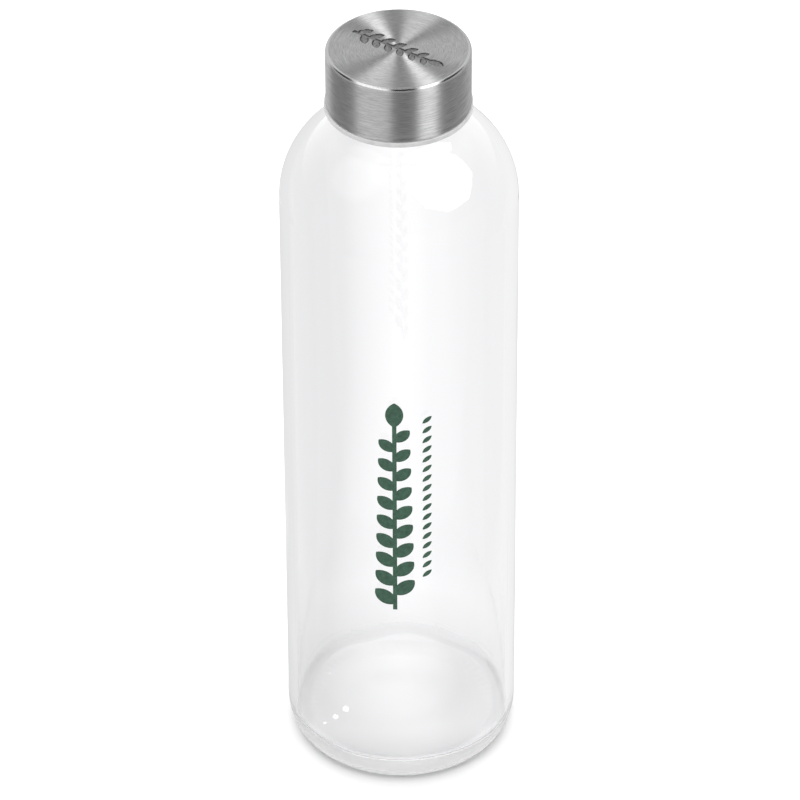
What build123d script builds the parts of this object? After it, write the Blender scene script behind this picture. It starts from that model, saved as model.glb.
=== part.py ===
"""Half-litre glass water bottle with a screwed stainless steel lid.

The glass stands on its base at the origin, with +Z up along its axis and the print facing -Y.
The lid is a drawn steel shell on a threaded plastic liner, and a silicone ring in the liner
seals on the glass rim. Lengths are in millimetres.
"""

import math
import os

from build123d import *

# Glass body
BODY_R = 32.5  # outside radius of the straight wall
WALL = 2.5  # thickness of the straight wall
SHOULDER_Z = 182.3  # the straight wall ends and the shoulder arc starts
SHOULDER_R = 27.5  # radius of the shoulder arc, outside
SHOULDER_TURN = 58.5  # degrees that the shoulder arc turns before the neck fillet

# Glass base
HEEL_HEIGHT = 9.1  # the heel is a quarter ellipse
HEEL_REACH = 4.25
REST_R = 24.5  # inside radius of the flat ring that the bottle stands on
PUSH_UP = 2.2  # height of the hollow under the base
FLOOR_Z = 7.4  # inside floor, at the axis
FLOOR_EDGE_Z = 6.4  # inside floor, where the corner arc starts
FLOOR_CORNER_R = 1.8

# Neck finish
NECK_R = 16.0  # outside radius between the threads
BORE_R = 13.2
LIP_R = 0.9  # rounding of the rim
BEAD_R = 17.1  # the ring of glass under the thread
BEAD_Z = (211.6, 213.8)
PITCH = 4.2
GLASS_CREST_R = 17.3
GLASS_THREAD_Z = 216.6  # centre of the ridge where it starts
GLASS_THREAD_TURNS = 1.5

# Lid
LID_TOP_Z = 229.6
SHELL_R = 19.55
SHELL_T = 0.5  # steel sheet
SHELL_HEIGHT = 16.9
SHELL_EDGE_R = 0.95
SHELL_RIM_R = 0.2  # rounding of the cut edge at the bottom
LINER_TOP_T = 1.4
LINER_R = 18.8
LINER_BORE_R = 17.6
LINER_CREST_R = 16.4
LINER_THREAD_TURNS = 1.25
LINER_THREAD_RISE = 0.2  # above the middle of the groove, towards the glass thread it pulls on
FLANGE_R = 20.04
FLANGE_T = 1.46
FLANGE_ROUND = 0.45
RIB_COUNT = 24
RIB_WIDTH = 0.8
GLUE_GAP = 0.03  # between the liner's ribs and the steel

# Seal
SEAL_T = 2.0
SEAL_R = 17.4
SEAL_BORE_R = 13.5
SEAL_CATCH_R = 17.05  # a bead in the liner that keeps the seal in
SEAL_CATCH_H = 0.8

# Decoration
INK_T = 0.1
PRINT_Z = (64.0, 136.0)
PRINT_X = -1.6
PRINT_REACH = 5.5
PRINT_LEAVES = 18
PRINT_STEM = 1.2
PRINT_LEAF = 0.6  # width of a leaf over its length
TICK_Z = (75.2, 132.0)
TICK_X = 7.2
TICK_COUNT = 17
TICK_LENGTH = 3.3
TICK_LEAF = 0.42
STAMP_LENGTH = 29.0
STAMP_REACH = 3.2
STAMP_LEAVES = 12
STAMP_STEM = 0.8
STAMP_LEAF = 0.48
STAMP_ANGLE = -35.4  # of the stem, from +X
STAMP_DEPTH = 0.25

SEAL_TOP_Z = LID_TOP_Z - SHELL_T - LINER_TOP_T
RIM_Z = SEAL_TOP_Z - SEAL_T
SHELL_BOTTOM_Z = LID_TOP_Z - SHELL_HEIGHT


def turned(outline):
    """The solid that a closed outline of (radius, height) edges makes about Z."""
    return revolve(Plane.XZ * make_face(outline), axis=Axis.Z)


def tube(outer_r, inner_r, low_z, high_z):
    """A plain ring between two heights."""
    height = high_z - low_z
    ring = Cylinder(outer_r, height) - Cylinder(inner_r, height)
    return Pos(0, 0, (low_z + high_z) / 2) * ring


def ridge(root_r, crest_r, low_z, turns, root_width, crest_width):
    """A right-handed screw ridge from root_r to crest_r, starting on +X with its centre at low_z."""
    path = Helix(pitch=PITCH, height=PITCH * turns, radius=root_r)
    depth = crest_r - root_r
    outline = Polyline(
        (0, -root_width / 2), (depth, -crest_width / 2), (depth, crest_width / 2), (0, root_width / 2),
        close=True,
    )
    start = Plane(origin=path @ 0, x_dir=(1, 0, 0), z_dir=path % 0)
    return Pos(0, 0, low_z) * sweep(start * make_face(outline), path=path, is_frenet=True)


def shoulder_and_neck(arc_r, neck_r):
    """Shoulder arc and the fillet into a neck of that radius, and the height where the neck starts."""
    turn = math.radians(SHOULDER_TURN)
    centre_r = BODY_R - SHOULDER_R
    end_r = centre_r + arc_r * math.cos(turn)
    end_z = SHOULDER_Z + arc_r * math.sin(turn)
    fillet_r = (end_r - neck_r) / (1 - math.cos(turn))
    neck_z = end_z + fillet_r * math.sin(turn)
    arc = CenterArc((centre_r, SHOULDER_Z), arc_r, 0, SHOULDER_TURN)
    fillet_centre = (neck_r + fillet_r, neck_z)
    neck_fillet = CenterArc(fillet_centre, fillet_r, 180 + SHOULDER_TURN, -SHOULDER_TURN)
    return [arc, neck_fillet], neck_z


def glass_outside():
    """The glass with no cavity: base, heel, wall, shoulder, neck and rim."""
    heel_r = BODY_R - HEEL_REACH
    upper, neck_z = shoulder_and_neck(SHOULDER_R, NECK_R)
    outline = [
        ThreePointArc((0, PUSH_UP), (REST_R / 2, PUSH_UP * 0.75), (REST_R, 0)),
        Line((REST_R, 0), (heel_r, 0)),
        EllipticalCenterArc((heel_r, HEEL_HEIGHT), HEEL_REACH, HEEL_HEIGHT, 270, arc_size=90),
        Line((BODY_R, HEEL_HEIGHT), (BODY_R, SHOULDER_Z)),
        *upper,
        Line((NECK_R, neck_z), (NECK_R, RIM_Z - LIP_R)),
        CenterArc((NECK_R - LIP_R, RIM_Z - LIP_R), LIP_R, 0, 90),
        Line((NECK_R - LIP_R, RIM_Z), (0, RIM_Z)),
        Line((0, RIM_Z), (0, PUSH_UP)),
    ]
    return turned(outline)


def glass_cavity():
    """What the glass leaves free inside, from the floor to past the rim."""
    wall_r = BODY_R - WALL
    corner = (wall_r - FLOOR_CORNER_R, FLOOR_EDGE_Z + FLOOR_CORNER_R)
    upper, neck_z = shoulder_and_neck(SHOULDER_R - WALL, BORE_R)
    lip_z = RIM_Z - LIP_R / 2
    dome_z = FLOOR_EDGE_Z + (FLOOR_Z - FLOOR_EDGE_Z) * 0.75
    outline = [
        ThreePointArc((0, FLOOR_Z), (corner[0] / 2, dome_z), (corner[0], FLOOR_EDGE_Z)),
        CenterArc(corner, FLOOR_CORNER_R, 270, 90),
        Line((wall_r, corner[1]), (wall_r, SHOULDER_Z)),
        *upper,
        Line((BORE_R, neck_z), (BORE_R, lip_z)),
        CenterArc((BORE_R + LIP_R / 2, lip_z), LIP_R / 2, 180, -90),
        Line((BORE_R + LIP_R / 2, RIM_Z), (0, RIM_Z)),
        Line((0, RIM_Z), (0, FLOOR_Z)),
    ]
    return turned(outline)


def glass_bottle():
    """The blown bottle, with its bead and its screw thread."""
    low_z, high_z = BEAD_Z
    shoulder_r = BEAD_R - (high_z - low_z) / 4
    sunk_r = NECK_R - 0.3
    bead = turned(
        [
            Line((sunk_r, low_z), (shoulder_r, low_z)),
            ThreePointArc((shoulder_r, low_z), (BEAD_R, (low_z + high_z) / 2), (shoulder_r, high_z)),
            Line((shoulder_r, high_z), (sunk_r, high_z)),
            Line((sunk_r, high_z), (sunk_r, low_z)),
        ]
    )
    thread = ridge(sunk_r, GLASS_CREST_R, GLASS_THREAD_Z, GLASS_THREAD_TURNS, 2.4, 1.1)
    return glass_outside() + bead + thread - glass_cavity()


def leaf(length, width):
    """A pointed leaf from the origin along +Y."""
    tip = (0, length)
    return make_face(
        [
            ThreePointArc((0, 0), (width / 2, length * 0.5), tip),
            ThreePointArc(tip, (-width / 2, length * 0.5), (0, 0)),
        ]
    )


def sprig(length, reach, leaves, stem_width, leaf_width):
    """A plain sprig along +Y, centred on the origin: a stem, leaves on both sides in turn, one at the tip."""
    top_leaf = reach * 1.5
    stem_length = length - top_leaf * 0.8
    faces = [Pos(0, stem_length / 2 - length / 2) * Rectangle(stem_width, stem_length)]
    faces.append(Pos(0, length / 2 - top_leaf) * leaf(top_leaf, top_leaf * leaf_width))
    step = stem_length * 0.92 / leaves
    for i in range(leaves):
        side = 1 if i % 2 else -1
        size = reach * 1.34 * (1.0 - 0.25 * i / leaves)
        at_y = -length / 2 + step * (i + 0.6)
        faces.append(Pos(0, at_y) * Rot(0, 0, -48 * side) * leaf(size, size * leaf_width))
    return faces


def on_wall(faces):
    """Ink of these flat faces, seen from -Y, laid on the glass."""
    ink = tube(BODY_R + INK_T, BODY_R, HEEL_HEIGHT, SHOULDER_Z)
    blocks = [Pos(0, -BODY_R / 2, 0) * extrude(Plane.XZ * face, BODY_R) for face in faces]
    return Part() + blocks & ink


def side_print():
    """The printed sprig and the row of small ticks beside it."""
    height = PRINT_Z[1] - PRINT_Z[0]
    middle = sum(PRINT_Z) / 2
    main = sprig(height, PRINT_REACH, PRINT_LEAVES, PRINT_STEM, PRINT_LEAF)
    faces = [Pos(PRINT_X, middle) * face for face in main]
    step = (TICK_Z[1] - TICK_Z[0] - TICK_LENGTH) / (TICK_COUNT - 1)
    for i in range(TICK_COUNT):
        at = Pos(TICK_X - TICK_LENGTH * 0.35, TICK_Z[0] + step * i)
        faces.append(at * Rot(0, 0, -50) * leaf(TICK_LENGTH, TICK_LENGTH * TICK_LEAF))
    return on_wall(faces)


def lid_shell():
    """The drawn steel cup, with a sprig stamped in its top."""
    inner_r = SHELL_R - SHELL_T
    inner_edge_r = SHELL_EDGE_R - SHELL_T
    edge = (SHELL_R - SHELL_EDGE_R, LID_TOP_Z - SHELL_EDGE_R)
    top_z = LID_TOP_Z - SHELL_T
    cup = turned(
        [
            Line((0, LID_TOP_Z), (edge[0], LID_TOP_Z)),
            CenterArc(edge, SHELL_EDGE_R, 90, -90),
            Line((SHELL_R, edge[1]), (SHELL_R, SHELL_BOTTOM_Z + SHELL_RIM_R)),
            CenterArc((SHELL_R - SHELL_RIM_R, SHELL_BOTTOM_Z + SHELL_RIM_R), SHELL_RIM_R, 0, -90),
            Line((SHELL_R - SHELL_RIM_R, SHELL_BOTTOM_Z), (inner_r, SHELL_BOTTOM_Z)),
            Line((inner_r, SHELL_BOTTOM_Z), (inner_r, edge[1])),
            CenterArc(edge, inner_edge_r, 0, 90),
            Line((edge[0], top_z), (0, top_z)),
            Line((0, top_z), (0, LID_TOP_Z)),
        ]
    )
    stamp = sprig(STAMP_LENGTH, STAMP_REACH, STAMP_LEAVES, STAMP_STEM, STAMP_LEAF)
    turn = Rot(0, 0, STAMP_ANGLE - 90)
    cutters = [Pos(0, 0, LID_TOP_Z - STAMP_DEPTH) * turn * extrude(face, 1.0) for face in stamp]
    return cup - cutters


def lid_liner():
    """The moulded plastic inside of the lid: flange, ribs, thread and the catch for the seal."""
    top_z = LID_TOP_Z - SHELL_T
    shell_bore_r = SHELL_R - SHELL_T
    crown_r = SHELL_EDGE_R
    flange_low = SHELL_BOTTOM_Z - FLANGE_T
    lip = FLANGE_ROUND / 2
    body = turned(
        [
            Line((0, top_z), (LINER_R - crown_r, top_z)),
            CenterArc((LINER_R - crown_r, top_z - crown_r), crown_r, 90, -90),
            Line((LINER_R, top_z - crown_r), (LINER_R, SHELL_BOTTOM_Z)),
            Line((LINER_R, SHELL_BOTTOM_Z), (FLANGE_R - lip, SHELL_BOTTOM_Z)),
            CenterArc((FLANGE_R - lip, SHELL_BOTTOM_Z - lip), lip, 90, -90),
            Line((FLANGE_R, SHELL_BOTTOM_Z - lip), (FLANGE_R, flange_low + FLANGE_ROUND)),
            CenterArc((FLANGE_R - FLANGE_ROUND, flange_low + FLANGE_ROUND), FLANGE_ROUND, 0, -90),
            Line((FLANGE_R - FLANGE_ROUND, flange_low), (LINER_BORE_R + 0.4, flange_low)),
            Line((LINER_BORE_R + 0.4, flange_low), (LINER_BORE_R, flange_low + 0.4)),
            Line((LINER_BORE_R, flange_low + 0.4), (LINER_BORE_R, SEAL_TOP_Z)),
            Line((LINER_BORE_R, SEAL_TOP_Z), (0, SEAL_TOP_Z)),
            Line((0, SEAL_TOP_Z), (0, top_z)),
        ]
    )
    rib_zone = tube(shell_bore_r - GLUE_GAP, LINER_R - 0.2, SHELL_BOTTOM_Z, top_z - 2 * crown_r)
    spoke = Pos(LINER_R, 0, LID_TOP_Z) * Box(4, RIB_WIDTH, 80)
    ribs = rib_zone & (Part() + [Rot(0, 0, 360 * i / RIB_COUNT) * spoke for i in range(RIB_COUNT)])
    catch_low = RIM_Z - SEAL_CATCH_H - 0.1
    catch_middle = catch_low + SEAL_CATCH_H / 2
    seat_r = LINER_BORE_R + 0.2
    catch = turned(
        [
            Line((seat_r, catch_low), (LINER_BORE_R, catch_low)),
            Line((LINER_BORE_R, catch_low), (SEAL_CATCH_R, catch_middle)),
            Line((SEAL_CATCH_R, catch_middle), (LINER_BORE_R, catch_low + SEAL_CATCH_H)),
            Line((LINER_BORE_R, catch_low + SEAL_CATCH_H), (seat_r, catch_low + SEAL_CATCH_H)),
            Line((seat_r, catch_low + SEAL_CATCH_H), (seat_r, catch_low)),
        ]
    )
    start_turn = (GLASS_THREAD_TURNS - LINER_THREAD_TURNS) / 2
    start_z = GLASS_THREAD_Z + PITCH * (start_turn - 0.5) + LINER_THREAD_RISE
    thread = ridge(seat_r, LINER_CREST_R, start_z, LINER_THREAD_TURNS, 1.9, 0.8)
    return body + ribs + catch + Rot(0, 0, 360 * start_turn) * thread


def seal_ring():
    """The silicone ring between the rim and the liner, with a small lip groove on its sealing face."""
    ring = tube(SEAL_R, SEAL_BORE_R, RIM_Z, SEAL_TOP_Z)
    rounded = ring.edges().filter_by(GeomType.CIRCLE)
    return fillet(rounded, 0.3)


PIECES = {
    "glass_bottle": glass_bottle,
    "side_print": side_print,
    "lid_shell": lid_shell,
    "lid_liner": lid_liner,
    "seal_ring": seal_ring,
}

if __name__ == "__main__":
    os.makedirs("parts", exist_ok=True)
    for name, make in PIECES.items():
        export_step(make(), f"parts/{name}.step")
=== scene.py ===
"""Looks of the glass water bottle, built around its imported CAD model. Shapes are in millimetres, and
become metres where their mesh is made. The camera, the lights and the floor are in metres."""

import math
import random

import bmesh
import bpy
import numpy as np
from mathutils import Matrix, Vector

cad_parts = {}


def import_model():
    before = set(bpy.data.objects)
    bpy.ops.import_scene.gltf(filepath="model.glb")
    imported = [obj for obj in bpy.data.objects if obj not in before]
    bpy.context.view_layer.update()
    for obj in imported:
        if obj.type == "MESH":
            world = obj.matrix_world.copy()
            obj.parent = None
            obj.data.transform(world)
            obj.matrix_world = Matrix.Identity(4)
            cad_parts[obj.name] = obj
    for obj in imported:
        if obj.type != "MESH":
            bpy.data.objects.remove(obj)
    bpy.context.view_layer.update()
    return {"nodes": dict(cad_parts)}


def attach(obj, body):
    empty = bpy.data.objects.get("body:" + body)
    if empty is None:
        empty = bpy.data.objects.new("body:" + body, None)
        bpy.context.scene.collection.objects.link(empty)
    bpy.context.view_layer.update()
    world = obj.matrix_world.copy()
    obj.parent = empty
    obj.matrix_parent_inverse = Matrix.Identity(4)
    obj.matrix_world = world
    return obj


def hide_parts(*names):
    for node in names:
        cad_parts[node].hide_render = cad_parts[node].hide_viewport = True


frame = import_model()
MM = 0.001

# ---------------------------------------------------------------- sizes, the same as the CAD model's
BODY_R, WALL = 32.5, 2.5
SHOULDER_Z, SHOULDER_R, SHOULDER_TURN = 182.3, 27.5, math.radians(58.5)
HEEL_HEIGHT, HEEL_REACH = 9.1, 4.25
REST_R, PUSH_UP = 24.5, 2.2
FLOOR_Z, FLOOR_EDGE_Z, FLOOR_CORNER_R = 7.4, 6.4, 1.8
NECK_R, BORE_R, LIP_R, RIM_Z = 16.0, 13.2, 0.9, 225.7
BEAD_R, BEAD_Z = 17.1, (211.6, 213.8)
PITCH, CREST_R, THREAD_Z, THREAD_TURNS = 4.2, 17.3, 216.6, 1.5
LID_TOP_Z, SHELL_R, SHELL_T, SHELL_HEIGHT, SHELL_EDGE_R = 229.6, 19.55, 0.5, 16.9, 0.95
STAMP_LENGTH, STAMP_REACH, STAMP_LEAVES, STAMP_ANGLE = 29.0, 3.2, 12, -35.4
STAMP_STEM, STAMP_LEAF = 0.8, 0.48

# ---------------------------------------------------------------- sizes that only the looks have
WALL_RIPPLE, SKIN_RIPPLE, FLOOR_RIPPLE = 0.09, 0.012, 0.2  # unevenness inside, outside and on the floor
KNURLS, KNURL_RISE = 72, 0.035  # small notches around the ring that the bottle stands on
STIPPLE_Z = 2.6  # the mould is stippled below this height
LUMPS = [  # (degrees around, width in degrees, height) of rises at the edge of the inside floor
    (86, 12, 1.2), (110, 9, -0.8), (60, 9, -0.6), (134, 12, 1.2), (30, 10, 0.5), (205, 14, 0.4),
    (318, 14, -0.4),
]
HEM_Z, HEM_HALF, HEM_DEPTH = 1.15, 0.15, 0.1  # fine groove around the foot of the steel shell
STAMP_DEPTH, STAMP_SPREAD, STAMP_SLOPE = 0.3, 0.16, 0.26
SHELL_TOP_ROWS = 124


# ---------------------------------------------------------------- meshes
def smooth(x):
    """0 to 1 with level ends, for x from 0 to 1."""
    x = np.clip(x, 0.0, 1.0)
    return x * x * (3 - 2 * x)


def arc(centre, radius, start, end, steps):
    """Points of an arc between two angles in radians, its first point left out."""
    angles = np.linspace(start, end, steps + 1)[1:]
    return [(centre[0] + radius * math.cos(a), centre[1] + radius * math.sin(a)) for a in angles]


def line(start, end, steps):
    """Points along a straight run, its first point left out."""
    return [
        (start[0] + (end[0] - start[0]) * i / steps, start[1] + (end[1] - start[1]) * i / steps)
        for i in range(1, steps + 1)
    ]


def lathe(name, outline, segments, shape):
    """A smooth mesh turned about Z from (radius, height) points in mm. shape(r, z, turn, row) may move
    the points. An outline that starts or ends on the axis closes there with a fan."""
    turn = np.linspace(0, 2 * math.pi, segments, endpoint=False)
    rows = [i for i, p in enumerate(outline) if p[0] > 1e-6]
    r = np.array([outline[i][0] for i in rows])[:, None] + 0 * turn
    z = np.array([outline[i][1] for i in rows])[:, None] + 0 * turn
    r, z = shape(r, z, turn[None, :] + 0 * r, np.array(rows)[:, None] + 0 * r)
    points = np.stack([r * np.cos(turn), r * np.sin(turn), z], -1).reshape(-1, 3) * MM
    vertices = [tuple(p) for p in points]
    faces = []
    for low in range(0, (len(rows) - 1) * segments, segments):
        high = low + segments
        for j in range(segments):
            k = (j + 1) % segments
            faces.append((low + j, low + k, high + k, high + j))
    for end, row, flip in ((0, 0, True), (-1, len(rows) - 1, False)):
        if outline[end][0] > 1e-6:
            continue
        rise = outline[end][1] - outline[rows[row]][1]
        vertices.append((0, 0, float(z[row].mean()) * MM + rise * MM))
        pole = len(vertices) - 1
        for j in range(segments):
            a, b = row * segments + j, row * segments + (j + 1) % segments
            faces.append((pole, b, a) if flip else (pole, a, b))
    mesh = bpy.data.meshes.new(name)
    mesh.from_pydata(vertices, [], faces)
    mesh.validate()
    mesh.polygons.foreach_set("use_smooth", [True] * len(mesh.polygons))
    mesh.update()
    piece = bpy.data.objects.new(name, mesh)
    bpy.context.scene.collection.objects.link(piece)
    return piece


def waves(seed, count, around, along):
    """A smooth wavy field of turn and distance, about -1 to 1, whole numbers of waves around."""
    draw = random.Random(seed)
    terms = []
    for _ in range(count):
        around_count = draw.randint(*around)
        along_rate = draw.uniform(*along) * draw.choice((-1, 1))
        terms.append((around_count, along_rate, draw.uniform(0, 6.28), draw.uniform(0.5, 1)))
    total = sum(t[3] for t in terms) * 0.6

    def field(turn, distance):
        return sum(w * np.cos(n * turn + k * distance + p) for n, k, p, w in terms) / total

    return field


# ---------------------------------------------------------------- glass
def shoulder(arc_r, neck_r, steps):
    """Shoulder arc and neck fillet, going up, and the height where the neck starts."""
    centre = (BODY_R - SHOULDER_R, SHOULDER_Z)
    end = (centre[0] + arc_r * math.cos(SHOULDER_TURN), centre[1] + arc_r * math.sin(SHOULDER_TURN))
    fillet_r = (end[0] - neck_r) / (1 - math.cos(SHOULDER_TURN))
    neck_z = end[1] + fillet_r * math.sin(SHOULDER_TURN)
    points = arc(centre, arc_r, 0, SHOULDER_TURN, steps)
    points += arc((neck_r + fillet_r, neck_z), fillet_r, math.pi + SHOULDER_TURN, math.pi, steps // 2)
    return points, neck_z


def glass_outline():
    """The whole skin of the glass: along the base, up the outside, over the rim, down the inside."""
    heel_r, wall_r = BODY_R - HEEL_REACH, BODY_R - WALL
    points = [(0, PUSH_UP)]
    points += [(REST_R * t, PUSH_UP * (1 - t * t) ** 1.5) for t in np.linspace(0, 1, 25)[1:]]
    points += line((REST_R, 0), (heel_r, 0), 4)
    points += [
        (heel_r + HEEL_REACH * math.sin(a), HEEL_HEIGHT * (1 - math.cos(a)))
        for a in np.linspace(0, math.pi / 2, 25)[1:]
    ]
    points += line((BODY_R, HEEL_HEIGHT), (BODY_R, SHOULDER_Z), 38)
    outer, neck_z = shoulder(SHOULDER_R, NECK_R, 32)
    points += outer + line((NECK_R, neck_z), (NECK_R, RIM_Z - LIP_R), 58)
    points += arc((NECK_R - LIP_R, RIM_Z - LIP_R), LIP_R, 0, math.pi / 2, 6)
    lip = LIP_R / 2
    points += line((NECK_R - LIP_R, RIM_Z), (BORE_R + lip, RIM_Z), 3)
    points += arc((BORE_R + lip, RIM_Z - lip), lip, math.pi / 2, math.pi, 5)
    inner, bore_z = shoulder(SHOULDER_R - WALL, BORE_R, 32)
    points += line((BORE_R, RIM_Z - lip), (BORE_R, bore_z), 10)
    points += inner[-2::-1] + [(wall_r, SHOULDER_Z)]
    corner = (wall_r - FLOOR_CORNER_R, FLOOR_EDGE_Z + FLOOR_CORNER_R)
    finer_z = 16  # the rows are closer together below this
    points += line((wall_r, SHOULDER_Z), (wall_r, finer_z), 36)
    points += line((wall_r, finer_z), (wall_r, corner[1]), 10)
    points += arc(corner, FLOOR_CORNER_R, 0, -math.pi / 2, 10)
    rise = FLOOR_Z - FLOOR_EDGE_Z
    points += [(corner[0] * t, FLOOR_EDGE_Z + rise * (1 - t * t)) for t in np.linspace(1, 0, 17)[1:]]
    return points


def floor_lumps(turn):
    """Slow rises and dips around the edge of the inside floor, where the molten glass settled."""
    total = 0
    for degrees, width, height in LUMPS:
        off = np.angle(np.exp(1j * (turn - math.radians(degrees)))) / math.radians(width)
        total = total + height * np.exp(-off * off / 2)
    return total


def bead_and_thread(z, turn):
    """How far the bead and the screw ridge stand out of the neck."""
    middle = sum(BEAD_Z) / 2
    bead = np.clip(1 - ((z - middle) / (middle - BEAD_Z[0])) ** 2, 0, 1) ** 0.5 * (BEAD_R - NECK_R)
    screw = np.zeros_like(z)
    half_foot, slope = 1.25, 0.75
    for lap in range(math.ceil(THREAD_TURNS)):
        along = turn / (2 * math.pi) + lap
        off = np.abs(z - THREAD_Z - PITCH * along)
        ends = smooth(along / 0.06) * smooth((THREAD_TURNS - along) / 0.06)
        screw = np.maximum(screw, (CREST_R - NECK_R) * smooth((half_foot - off) / slope) * ends)
    return np.maximum(bead, screw)


def glass_shape(r, z, turn, row):
    """Adds what a turned outline lacks: bead, screw thread, and the slight unevenness of blown glass."""
    top = max(i for i, p in enumerate(GLASS_OUTLINE) if p[1] >= RIM_Z - 1e-6)
    outside = row < top
    neck = outside & (z > BEAD_Z[0] - 1) & (z < RIM_Z - LIP_R)
    r = r + np.where(neck, bead_and_thread(z, turn), 0)
    fade = smooth((z - 10) / 12) * smooth((215 - z) / 25)
    r = r + np.where(~outside & (z < 205), WALL_RIPPLE * WALL_WAVES(turn, z) * fade, 0)
    r = r + np.where(outside & (z > 12) & (z < 205), SKIN_RIPPLE * SKIN_WAVES(turn, z), 0)
    settled = FLOOR_RIPPLE * FLOOR_WAVES(turn, r) + floor_lumps(turn)
    fade = smooth((30 - z) / 20) * smooth((r - 20) / 9)
    z = z + np.where(~outside & (z < 30), settled * fade, 0)
    foot = outside & (z < 0.6) & (r > REST_R - 1)
    fade = smooth((r - REST_R + 0.6) / 0.8) * smooth((29.2 - r) / 0.8)
    z = z + np.where(foot, KNURL_RISE * (1 - np.cos(KNURLS * turn)) * fade, 0)
    return r, z


WALL_WAVES = waves(3, 7, (1, 4), (0.01, 0.07))
SKIN_WAVES = waves(5, 7, (1, 5), (0.01, 0.06))
FLOOR_WAVES = waves(11, 6, (2, 6), (0.02, 0.12))
GLASS_OUTLINE = glass_outline()
glass = lathe("bottle_glass", GLASS_OUTLINE, 288, glass_shape)
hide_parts("glass_bottle")
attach(glass, "bottle")


# ---------------------------------------------------------------- lid
def leaf_inside(x, y, at, angle, length, width):
    """How far points lie inside a pointed leaf, negative outside it. angle turns it clockwise from +Y."""
    c, s = math.cos(angle), math.sin(angle)
    u = (x - at[0]) * c - (y - at[1]) * s
    v = (x - at[0]) * s + (y - at[1]) * c
    radius = (length * length / 4 + width * width / 4) / width
    reach = radius - width / 2
    return np.minimum(
        radius - np.hypot(u + reach, v - length / 2), radius - np.hypot(u - reach, v - length / 2)
    )


def sprig_inside(x, y):
    """The same for the whole sprig along +Y, centred on the origin."""
    top_leaf = STAMP_REACH * 1.5
    stem = STAMP_LENGTH - top_leaf * 0.8
    middle = (stem - STAMP_LENGTH) / 2
    inside = np.minimum(STAMP_STEM / 2 - np.abs(x), stem / 2 - np.abs(y - middle))
    at = (0, STAMP_LENGTH / 2 - top_leaf)
    inside = np.maximum(inside, leaf_inside(x, y, at, 0, top_leaf, top_leaf * STAMP_LEAF))
    step = stem * 0.92 / STAMP_LEAVES
    for i in range(STAMP_LEAVES):
        angle = math.radians(48) * (1 if i % 2 else -1)
        size = STAMP_REACH * 1.34 * (1.0 - 0.25 * i / STAMP_LEAVES)
        at = (0, -STAMP_LENGTH / 2 + step * (i + 0.6))
        inside = np.maximum(inside, leaf_inside(x, y, at, angle, size, size * STAMP_LEAF))
    return inside


def shell_outline():
    """The steel cup, from the top's centre over the edge, down, and back inside."""
    edge = (SHELL_R - SHELL_EDGE_R, LID_TOP_Z - SHELL_EDGE_R)
    low = LID_TOP_Z - SHELL_HEIGHT
    rim_r = 0.2
    points = [(0, LID_TOP_Z)] + line((0, LID_TOP_Z), (edge[0], LID_TOP_Z), SHELL_TOP_ROWS)
    points += arc(edge, SHELL_EDGE_R, math.pi / 2, 0, 6)
    points += line((SHELL_R, edge[1]), (SHELL_R, low + HEM_Z + HEM_HALF), 6)
    points += [(SHELL_R - HEM_DEPTH, low + HEM_Z), (SHELL_R, low + HEM_Z - HEM_HALF)]
    points += line((SHELL_R, low + HEM_Z - HEM_HALF), (SHELL_R, low + rim_r), 2)
    points += arc((SHELL_R - rim_r, low + rim_r), rim_r, 0, -math.pi / 2, 3)
    points += line((SHELL_R - rim_r, low), (SHELL_R - SHELL_T, low), 1)
    points += line((SHELL_R - SHELL_T, low), (SHELL_R - SHELL_T, edge[1]), 2)
    points += arc(edge, SHELL_EDGE_R - SHELL_T, 0, math.pi / 2, 3)
    points += line((edge[0], LID_TOP_Z - SHELL_T), (0, LID_TOP_Z - SHELL_T), 2)
    return points


def shell_shape(r, z, turn, row):
    """Presses the sprig into the top."""
    x, y = r * np.cos(turn), r * np.sin(turn)
    a = math.radians(STAMP_ANGLE - 90)
    u, v = x * math.cos(a) + y * math.sin(a), -x * math.sin(a) + y * math.cos(a)
    pressed = smooth((sprig_inside(u, v) + STAMP_SPREAD) / STAMP_SLOPE)
    return r, z - np.where(row < SHELL_TOP_ROWS, STAMP_DEPTH * pressed, 0)


shell = lathe("steel_shell", shell_outline(), 600, shell_shape)
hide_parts("lid_shell")
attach(shell, "lid")


# ---------------------------------------------------------------- nodes
def tools(tree):
    """A node maker and a linker for a node tree."""

    def node(kind, **settings):
        made = tree.nodes.new(kind)
        for key, value in settings.items():
            setattr(made, key, value)
        return made

    return node, tree.links.new


def material(name):
    """A new node material: (material, node maker, linker, its Principled shader)."""
    made = bpy.data.materials.new(name)
    made.use_nodes = True
    return made, *tools(made.node_tree), made.node_tree.nodes["Principled BSDF"]


def map_range(node, link, value, source, target, kind="LINEAR"):
    """Takes a value from one (low, high) range to another."""
    made = node("ShaderNodeMapRange", interpolation_type=kind)
    made.inputs["From Min"].default_value, made.inputs["From Max"].default_value = source
    made.inputs["To Min"].default_value, made.inputs["To Max"].default_value = target
    link(value, made.inputs["Value"])
    return made.outputs["Result"]


def span(node, link, value, low, high):
    """0 below low and 1 above high, with a soft step between. low may be above high."""
    ends = (0.0, 1.0) if low < high else (1.0, 0.0)
    return map_range(node, link, value, (min(low, high), max(low, high)), ends, "SMOOTHSTEP")


def calculate(node, link, operation, *values):
    """A math node's result. Each value is a number or a socket."""
    made = node("ShaderNodeMath", operation=operation)
    for socket, value in zip(made.inputs, values):
        if isinstance(value, (int, float)):
            socket.default_value = value
        else:
            link(value, socket)
    return made.outputs[0]


def vector(node, link, operation, *values):
    """A vector math node. Each value is a vector or a socket."""
    made = node("ShaderNodeVectorMath", operation=operation)
    for socket, value in zip(made.inputs, values):
        if isinstance(value, (tuple, Vector)):
            socket.default_value = value
        else:
            link(value, socket)
    return made


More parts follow.
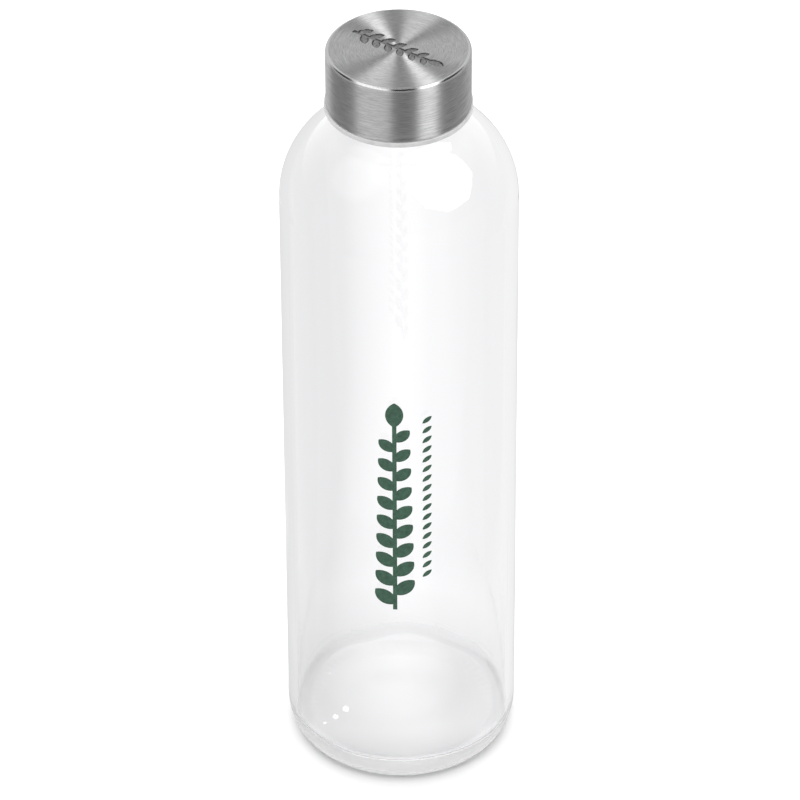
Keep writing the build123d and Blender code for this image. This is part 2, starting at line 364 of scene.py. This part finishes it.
def ramp(node, link, value, stops):
    """A colour ramp from (position, grey level or colour) stops."""
    made = node("ShaderNodeValToRGB")
    elements = made.color_ramp.elements
    while len(elements) < len(stops):
        elements.new(0.5)
    for element, (position, _) in zip(elements, stops):
        element.position = position
    for element, (_, level) in zip(elements, stops):
        element.color = (*level, 1) if isinstance(level, tuple) else (level, level, level, 1)
    link(value, made.inputs["Fac"])
    return made.outputs["Color"]


def noise(node, link, where, scale, detail, roughness=0.5):
    made = node("ShaderNodeTexNoise")
    made.inputs["Scale"].default_value = scale
    made.inputs["Detail"].default_value = detail
    made.inputs["Roughness"].default_value = roughness
    link(where, made.inputs["Vector"])
    return made.outputs["Fac"]


def bump(node, link, shader, height, strength, distance):
    made = node("ShaderNodeBump")
    made.inputs["Strength"].default_value = strength
    made.inputs["Distance"].default_value = distance
    link(height, made.inputs["Height"])
    link(made.outputs["Normal"], shader.inputs["Normal"])


# ---------------------------------------------------------------- materials
def glass_material(name, roughness):
    """Clear glass with a faint large unevenness."""
    made, node, link, shader = material(name)
    shader.inputs["Base Color"].default_value = (1, 1, 1, 1)
    shader.inputs["Roughness"].default_value = roughness
    shader.inputs["IOR"].default_value = 1.5
    shader.inputs["Transmission Weight"].default_value = 1.0
    place = node("ShaderNodeTexCoord").outputs["Object"]
    bump(node, link, shader, noise(node, link, place, 45.0, 1.0), 0.3, 0.00002)
    return made


def around_axis(node, link, fine, coarse):
    """Noise coordinates that are long around Z and short along the radius and the height."""
    split = node("ShaderNodeSeparateXYZ")
    link(node("ShaderNodeTexCoord").outputs["Object"], split.inputs[0])
    flat = node("ShaderNodeCombineXYZ")
    link(split.outputs["X"], flat.inputs["X"])
    link(split.outputs["Y"], flat.inputs["Y"])
    radius = vector(node, link, "LENGTH", flat.outputs[0]).outputs["Value"]
    unit = vector(node, link, "NORMALIZE", flat.outputs[0]).outputs[0]
    turned = vector(node, link, "SCALE", unit)
    turned.inputs["Scale"].default_value = coarse
    across = calculate(node, link, "ADD", radius, split.outputs["Z"])
    lift = node("ShaderNodeCombineXYZ")
    link(calculate(node, link, "MULTIPLY", across, fine), lift.inputs["Z"])
    return vector(node, link, "ADD", turned.outputs[0], lift.outputs[0]).outputs[0]


def steel_material():
    """Steel brushed around the axis, on the top and on the side."""
    made, node, link, shader = material("brushed_steel")
    shader.inputs["Metallic"].default_value = 1.0
    shader.inputs["Anisotropic"].default_value = 1.0
    shader.inputs["Anisotropic Rotation"].default_value = 0.25
    link(node("ShaderNodeTangent", direction_type="RADIAL", axis="Z").outputs[0], shader.inputs["Tangent"])
    grain = noise(node, link, around_axis(node, link, 7000.0, 5.0), 1.0, 5.0, 0.7)
    dark, light = (0.39, 0.39, 0.394), (0.85, 0.85, 0.854)
    link(ramp(node, link, grain, [(0.3, dark), (0.7, light)]), shader.inputs["Base Color"])
    link(map_range(node, link, grain, (0.0, 1.0), (0.4, 0.48)), shader.inputs["Roughness"])
    bump(node, link, shader, grain, 0.25, 0.00002)
    return made


def mottled(name, dark, light, scale, roughness, bumps, metal=0.0):
    """A plain material with fine uneven colour, gloss and surface."""
    made, node, link, shader = material(name)
    shader.inputs["Metallic"].default_value = metal
    place = node("ShaderNodeTexCoord").outputs["Object"]
    grain = noise(node, link, place, scale, 4.0)
    link(ramp(node, link, grain, [(0.3, dark), (0.7, light)]), shader.inputs["Base Color"])
    link(map_range(node, link, grain, (0.0, 1.0), roughness), shader.inputs["Roughness"])
    bump(node, link, shader, grain, 0.4, bumps)
    return made


def stamp_painted_shade_material(name, level):
    """Unbrushed steel, darkened as painted shade in the pressed sprig."""
    dark, light = (0.1 * level,) * 3, (0.26 * level,) * 3
    return mottled(name, dark, light, 1500.0, (0.3, 0.5), 0.00002, 1.0)


def polished_material():
    dark, light = (0.6, 0.6, 0.605), (0.7, 0.7, 0.705)
    return mottled("polished_steel", dark, light, 2500.0, (0.13, 0.2), 0.000003, 1.0)


def ink_material():
    """Green ink over a pale undercoat, which is the side that lies on the glass."""
    dark, light = (0.03, 0.078, 0.05), (0.045, 0.12, 0.076)
    made = mottled("green_ink", dark, light, 900.0, (0.35, 0.6), 0.00001)
    node, link = tools(made.node_tree)
    color = made.node_tree.nodes["Principled BSDF"].inputs["Base Color"]
    green = color.links[0].from_socket
    place = node("ShaderNodeTexCoord").outputs["Object"]
    flat = node("ShaderNodeNewGeometry").outputs["True Normal"]
    outwards = vector(node, link, "DOT_PRODUCT", place, flat).outputs["Value"]
    mix = node("ShaderNodeMix", data_type="RGBA")
    link(calculate(node, link, "LESS_THAN", outwards, 0.0), mix.inputs[0])
    link(green, mix.inputs[6])
    mix.inputs[7].default_value = (0.93, 0.95, 0.94, 1)
    link(mix.outputs[2], color)
    return made


def plastic_material():
    return mottled("liner_plastic", (0.5, 0.5, 0.5), (0.57, 0.57, 0.57), 400.0, (0.32, 0.46), 0.00001)


def silicone_material():
    return mottled("seal_silicone", (0.68, 0.68, 0.67), (0.78, 0.78, 0.77), 500.0, (0.45, 0.6), 0.00001)


def dress(piece, *materials):
    piece.data.materials.clear()
    for made in materials:
        piece.data.materials.append(made)


def glass_zone(centre):
    """Which of the glass's materials a face has: clear, stippled by the mould, or the floor's corner."""
    radius, wall_r = math.hypot(centre.x, centre.y), BODY_R - WALL
    if centre.z < STIPPLE_Z:
        return 1
    return 2 if centre.z < FLOOR_EDGE_Z + 2.4 and wall_r - 3 < radius < wall_r + 0.1 else 0


def shell_zone(centre):
    """The same for the steel: brushed, the polished edge, or the pressed sprig's sides and floor, which
    are darkened as painted shade.
    """
    if math.hypot(centre.x, centre.y) > SHELL_R - SHELL_EDGE_R:
        return 1 if centre.z > LID_TOP_Z - SHELL_EDGE_R else 0
    if LID_TOP_Z - STAMP_DEPTH - 0.05 < centre.z < LID_TOP_Z - 0.02:
        return 2 if centre.z > LID_TOP_Z - 0.95 * STAMP_DEPTH else 3
    return 0


# The pressed sprig's sides and floor get darker steel: painted shade in the recess.
dress(
    glass, glass_material("clear_glass", 0.0), glass_material("stippled_glass", 0.32),
    glass_material("corner_glass", 0.32),
)
dress(
    shell, steel_material(), polished_material(), stamp_painted_shade_material("stamp_edge_painted_shade", 0.5),
    stamp_painted_shade_material("stamp_floor_painted_shade", 1.6),
)
for piece, zone in ((glass, glass_zone), (shell, shell_zone)):
    for polygon in piece.data.polygons:
        polygon.material_index = zone(polygon.center / MM)
for node_name, made in (
    ("side_print", ink_material()),
    ("lid_liner", plastic_material()),
    ("seal_ring", silicone_material()),
):
    cad = frame["nodes"][node_name]
    for i in range(len(cad.material_slots)):
        cad.material_slots[i].material = made


# ---------------------------------------------------------------- studio
LENS, AIM, DISTANCE, ELEVATION, ROLL = 258.2, Vector((0, 0, 0.11245)), 1.5929, 37.23, -0.265
FLOOR_HEIGHT = -0.00003

# The glow that shows through the glass, with painted light down the middle and painted shadow around the
# foot. Ramps are (place from 0 to 1, level).
GLOW_COLOR, GLOW_LEVEL = (0.988, 0.988, 1.0, 1), 1.065
MIDDLE_WIDTH = 0.1  # of floor from end to end of this ramp, along X
# Painted light: the glow is brighter down the middle than at the sides.
MIDDLE_PAINTED_LIGHT = [
    (0.0, 0.785), (0.24, 0.785), (0.28, 0.825), (0.31, 0.86), (0.35, 0.895), (0.41, 0.94), (0.475, 0.975),
    (0.51, 0.99), (0.55, 0.985), (0.58, 0.975), (0.62, 0.945), (0.7, 0.93), (0.78, 0.895), (1.0, 0.875),
]
FOOT_CENTRE, FOOT_REACH = (-0.004, 0.013, 0.0), 0.06  # this ramp goes out from a place under the bottle
# Painted shadow around the foot: the glow dips in a ring where the bottle stands.
FOOT_PAINTED_SHADOW = [
    (0.0, 1.005), (0.1, 1.0), (0.2, 0.955), (0.28, 0.935), (0.36, 0.885), (0.5, 0.92), (0.6, 0.94),
    (0.7, 0.965), (0.8, 1.0),
]
FOOT_PAINTED_PATCHES = [  # patches of painted shade and painted light: (axis, clear at, full at, radius clear at, radius full at, change)
    ("Y", -0.009, -0.023, 0.026, 0.023, -0.2), ("Y", -0.005, -0.014, 0.0235, 0.026, 0.2),
    ("X", 0.008, 0.018, 0.034, 0.028, -0.055),
]

# The room as the glass passes it on, and one small lamp that glints on the inside floor
ROOM_LEVELS, ROOM_EDGES = (0.92, 1.34), (0.2, 0.9)
LAMP_DIRECTION = Vector((-0.096, 0.7429, 0.672)).normalized()
LAMP_LEVEL, LAMP_EDGES = 12.0, (0.99997, 0.99999)
TOP_LIGHT_POWER, TOP_LIGHT_SIZE, TOP_LIGHT_HEIGHT = 58, 3.0, 2.5

# The room as the glass mirrors it. Spots are (azimuth, elevation, inner, outer, level) in degrees.
GLASS_ROOM_LEVEL = 0.22
GLASS_SPOTS = [
    (180, -20, 50, 95, 0.5), (180, 45, 10, 60, 0.3), (110, -20, 20, 60, 0.1), (-66, 50, 14, 28, 1.0),
    (0, 76, 12, 28, 0.5),
]


def camera():
    """Looks down at the bottle with a long lens."""
    data = bpy.data.cameras.new("camera")
    data.lens = LENS
    data.clip_end = 50
    made = bpy.data.objects.new("camera", data)
    bpy.context.scene.collection.objects.link(made)
    back = towards(0, ELEVATION)
    turn = (-back).to_track_quat("-Z", "Y").to_matrix().to_4x4()
    roll = Matrix.Rotation(math.radians(ROLL), 4, "Z")
    made.matrix_world = Matrix.Translation(AIM + back * DISTANCE) @ turn @ roll
    bpy.context.scene.camera = made


def towards(azimuth, elevation):
    """A direction seen from the bottle. Azimuth 0 is the camera's side and 90 is +X."""
    a, e = math.radians(azimuth), math.radians(elevation)
    return Vector((math.sin(a) * math.cos(e), -math.cos(a) * math.cos(e), math.sin(e)))


def sees(piece, **rays):
    """Sets which kinds of ray meet a stage piece. Those not named don't."""
    for kind in ("camera", "diffuse", "glossy", "transmission", "shadow", "volume_scatter"):
        setattr(piece, "visible_" + kind, rays.get(kind, False))


def plane(name, size, height):
    mesh = bpy.data.meshes.new(name)
    corners = [(-size, -size), (size, -size), (size, size), (-size, size)]
    mesh.from_pydata([(x, y, height) for x, y in corners], [], [(0, 1, 2, 3)])
    made = bpy.data.objects.new(name, mesh)
    bpy.context.scene.collection.objects.link(made)
    return made


def glow(name, color=(1, 1, 1, 1), level=1.0):
    """A material that only shines."""
    made, node, link, shader = material(name)
    shader.inputs["Base Color"].default_value = (0, 0, 0, 1)
    shader.inputs["Specular IOR Level"].default_value = 0
    shader.inputs["Emission Color"].default_value = color
    shader.inputs["Emission Strength"].default_value = level
    return made, node, link, shader


def floors():
    """A white floor, and the glow that shows through the glass in its place, with painted light down the
    middle, and painted shadow and patches of painted shade and painted light where the bottle stands."""
    seen = plane("floor", 6, FLOOR_HEIGHT)
    paint, node, link, shader = material("floor_paint")
    shader.inputs["Base Color"].default_value = (0.9, 0.9, 0.9, 1)
    shader.inputs["Roughness"].default_value = 0.9
    dress(seen, paint)
    sees(seen, camera=True, diffuse=True, shadow=True)

    through = plane("floor_glow", 6, FLOOR_HEIGHT)
    light, node, link, shader = glow("floor_light", GLOW_COLOR)
    place = node("ShaderNodeTexCoord").outputs["Object"]
    split = node("ShaderNodeSeparateXYZ")
    link(place, split.inputs[0])
    radius = vector(node, link, "LENGTH", place).outputs["Value"]
    reach = vector(node, link, "DISTANCE", place, FOOT_CENTRE).outputs["Value"]
    middle = calculate(node, link, "MULTIPLY_ADD", split.outputs["X"], 1 / MIDDLE_WIDTH, 0.5)
    foot = calculate(node, link, "MULTIPLY", reach, 1 / FOOT_REACH)
    total = calculate(
        node, link, "MULTIPLY", ramp(node, link, middle, MIDDLE_PAINTED_LIGHT), ramp(node, link, foot, FOOT_PAINTED_SHADOW)
    )
    # Patches of painted shade and painted light near the foot.
    for axis, clear, full, r_clear, r_full, change in FOOT_PAINTED_PATCHES:
        patch = calculate(
            node, link, "MULTIPLY",
            span(node, link, split.outputs[axis], clear, full), span(node, link, radius, r_clear, r_full),
        )
        change = calculate(node, link, "MULTIPLY_ADD", patch, change, 1.0)
        total = calculate(node, link, "MULTIPLY", total, change)
    link(calculate(node, link, "MULTIPLY", total, GLOW_LEVEL), shader.inputs["Emission Strength"])
    dress(through, light)
    sees(through, transmission=True)


def world():
    """Light from all around, brightest low behind the bottle, the small lamp, and a large soft light
    overhead that makes the shadow."""
    made = bpy.data.worlds.new("studio")
    made.use_nodes = True
    node, link = tools(made.node_tree)
    back = made.node_tree.nodes["Background"]
    back.inputs["Color"].default_value = (1, 1, 1, 1)
    place = node("ShaderNodeTexCoord").outputs["Generated"]
    behind = vector(node, link, "DOT_PRODUCT", place, towards(180, 30)).outputs["Value"]
    lamp = vector(node, link, "DOT_PRODUCT", place, LAMP_DIRECTION).outputs["Value"]
    room = map_range(node, link, behind, ROOM_EDGES, ROOM_LEVELS, "SMOOTHSTEP")
    point = map_range(node, link, lamp, LAMP_EDGES, (0.0, LAMP_LEVEL))
    link(calculate(node, link, "ADD", room, point), back.inputs["Strength"])
    bpy.context.scene.world = made
    made.cycles_visibility.glossy = False
    data = bpy.data.lights.new("top_light", "AREA")
    data.shape, data.size, data.energy = "SQUARE", TOP_LIGHT_SIZE, TOP_LIGHT_POWER
    overhead = bpy.data.objects.new("top_light", data)
    overhead.location = (0, 0, TOP_LIGHT_HEIGHT)
    bpy.context.scene.collection.objects.link(overhead)
    overhead.visible_camera = overhead.visible_glossy = overhead.visible_transmission = False


def only_for(lamp, pieces):
    """Limits what a glowing piece lights."""
    group = bpy.data.collections.new(lamp.name + "_lights")
    for piece in pieces:
        group.objects.link(piece)
    lamp.light_linking.receiver_collection = group


def mirrored(made, light, pieces):
    """Makes a glowing piece one that some pieces mirror and that nothing else sees."""
    light.cycles.emission_sampling = "NONE"
    dress(made, light)
    sees(made, glossy=True)
    only_for(made, pieces)


def dome(name, radius, light, pieces):
    """A sphere around the studio."""
    mesh = bpy.data.meshes.new(name)
    work = bmesh.new()
    bmesh.ops.create_uvsphere(work, u_segments=48, v_segments=24, radius=radius)
    work.to_mesh(mesh)
    work.free()
    made = bpy.data.objects.new(name, mesh)
    bpy.context.scene.collection.objects.link(made)
    mirrored(made, light, pieces)


def dome_direction(node, link):
    place = node("ShaderNodeTexCoord").outputs["Object"]
    return vector(node, link, "NORMALIZE", place).outputs[0]


def glass_dome(pieces):
    """The dim room in the glass, with soft spots."""
    light, node, link, shader = glow("glass_dome_light")
    direction = dome_direction(node, link)
    total = GLASS_ROOM_LEVEL
    for azimuth, elevation, inner, outer, level in GLASS_SPOTS:
        dot = vector(node, link, "DOT_PRODUCT", direction, towards(azimuth, elevation)).outputs["Value"]
        clear, full = math.cos(math.radians(outer)), math.cos(math.radians(inner))
        near = span(node, link, dot, clear, full)
        total = calculate(node, link, "MULTIPLY_ADD", near, level, total)
    link(total, shader.inputs["Emission Strength"])
    dome("glass_dome", 4.0, light, pieces)


def strips(*bands):
    """Ramp stops from (first degree, last degree, level) bands from -100 to 100, with soft edges."""
    stops = []
    for first, last, level in bands:
        stops += [((first + 101.5) / 200, level), ((last + 98.5) / 200, level)]
    return stops


SIDE_STRIPS = strips(
    (-100, -72, 0.38), (-70, -37, 0.185), (-35, -6, 0.375), (-5, 15, 0.185), (17, 31, 0.55),
    (33, 48, 0.185), (52, 68, 0.235), (74, 100, 0.28),
)
TOP_STRIPS = strips((-100, -37, 0.4), (-35, -6, 0.345), (-5, 15, 0.27), (17, 31, 0.41), (33, 100, 0.4))
BOX_STRIPS = strips((-100, -38, 0.0), (-34, -8, 0.55), (-6, 15, 0.0), (18, 31, 1.0), (33, 100, 0.0))


def steel_dome(pieces):
    """Upright strips of light for the brushed lid. A strip holds all directions that one brushed azimuth
    can mirror to a viewer in front, so it shows as one fan on the top and one band on the side. Low
    strips light the side, high ones the top, and the boxes between them only the polished edge."""
    light, node, link, shader = material("steel_dome_light")
    split = node("ShaderNodeSeparateXYZ")
    link(dome_direction(node, link), split.inputs[0])
    x, y, z = split.outputs
    viewer = 0.8  # how far the viewer's direction reaches along -Y, the cosine of its elevation
    ahead = calculate(node, link, "SUBTRACT", viewer, y)
    strip = calculate(node, link, "ARCTAN2", x, ahead)
    around = calculate(node, link, "MULTIPLY_ADD", strip, 1 / math.radians(200), 0.5)
    side, top, boxes = (ramp(node, link, around, stops) for stops in (SIDE_STRIPS, TOP_STRIPS, BOX_STRIPS))
    strip_level, strip_cut, box_level = 2.0, -1.9, 2.6
    high = span(node, link, z, 0.1, 0.45)
    total = calculate(node, link, "MULTIPLY", side, calculate(node, link, "SUBTRACT", 1.0, high))
    total = calculate(node, link, "MULTIPLY_ADD", top, high, total)
    front = span(node, link, z, 0.35, 0.5)
    for edge in (span(node, link, z, 0.985, 0.95), span(node, link, y, 0.5, 0.35)):
        front = calculate(node, link, "MULTIPLY", front, edge)
    level = calculate(node, link, "MULTIPLY_ADD", front, strip_cut, strip_level)
    total = calculate(node, link, "MULTIPLY", total, level)
    boxes = calculate(node, link, "MULTIPLY", front, boxes)
    total = calculate(node, link, "MULTIPLY_ADD", boxes, box_level, total)
    shine, clear = node("ShaderNodeEmission"), node("ShaderNodeBsdfTransparent")
    both = node("ShaderNodeAddShader")
    link(total, shine.inputs["Strength"])
    link(shine.outputs[0], both.inputs[0])
    link(clear.outputs[0], both.inputs[1])
    light.node_tree.nodes.remove(shader)
    link(both.outputs[0], light.node_tree.nodes["Material Output"].inputs["Surface"])
    dome("steel_dome", 2.0, light, pieces)


def softbox(name, azimuth, elevation, width, height, sides, level, pieces):
    """A flat glowing polygon, sized in degrees as seen from the bottle."""
    distance = 3.0
    back = towards(azimuth, elevation)
    turn = back.to_track_quat("Z", "Y").to_matrix()
    half_w, half_h = (distance * math.tan(math.radians(size / 2)) for size in (width, height))
    reach = 1 / math.cos(math.pi / sides)
    corners = [
        (half_w * reach * math.cos(a), half_h * reach * math.sin(a), 0)
        for a in (2 * math.pi * (i + 0.5) / sides for i in range(sides))
    ]
    mesh = bpy.data.meshes.new(name)
    mesh.from_pydata([turn @ Vector(c) + back * distance for c in corners], [], [tuple(range(sides))])
    made = bpy.data.objects.new(name, mesh)
    made.location = (0, 0, 0.2)
    bpy.context.scene.collection.objects.link(made)
    mirrored(made, glow(name + "_light", level=level)[0], pieces)


other_pieces = [glass] + [frame["nodes"][n] for n in ("side_print", "lid_liner", "seal_ring")]
camera()
floors()
world()
glass_dome(other_pieces)
steel_dome([shell])
softbox(
    "glass_right", azimuth=62, elevation=44, width=60, height=58, sides=8, level=4.0, pieces=other_pieces
)
bpy.context.scene.view_settings.view_transform = "Standard"
paths = bpy.context.scene.cycles
paths.max_bounces, paths.glossy_bounces, paths.transmission_bounces = 128, 96, 64
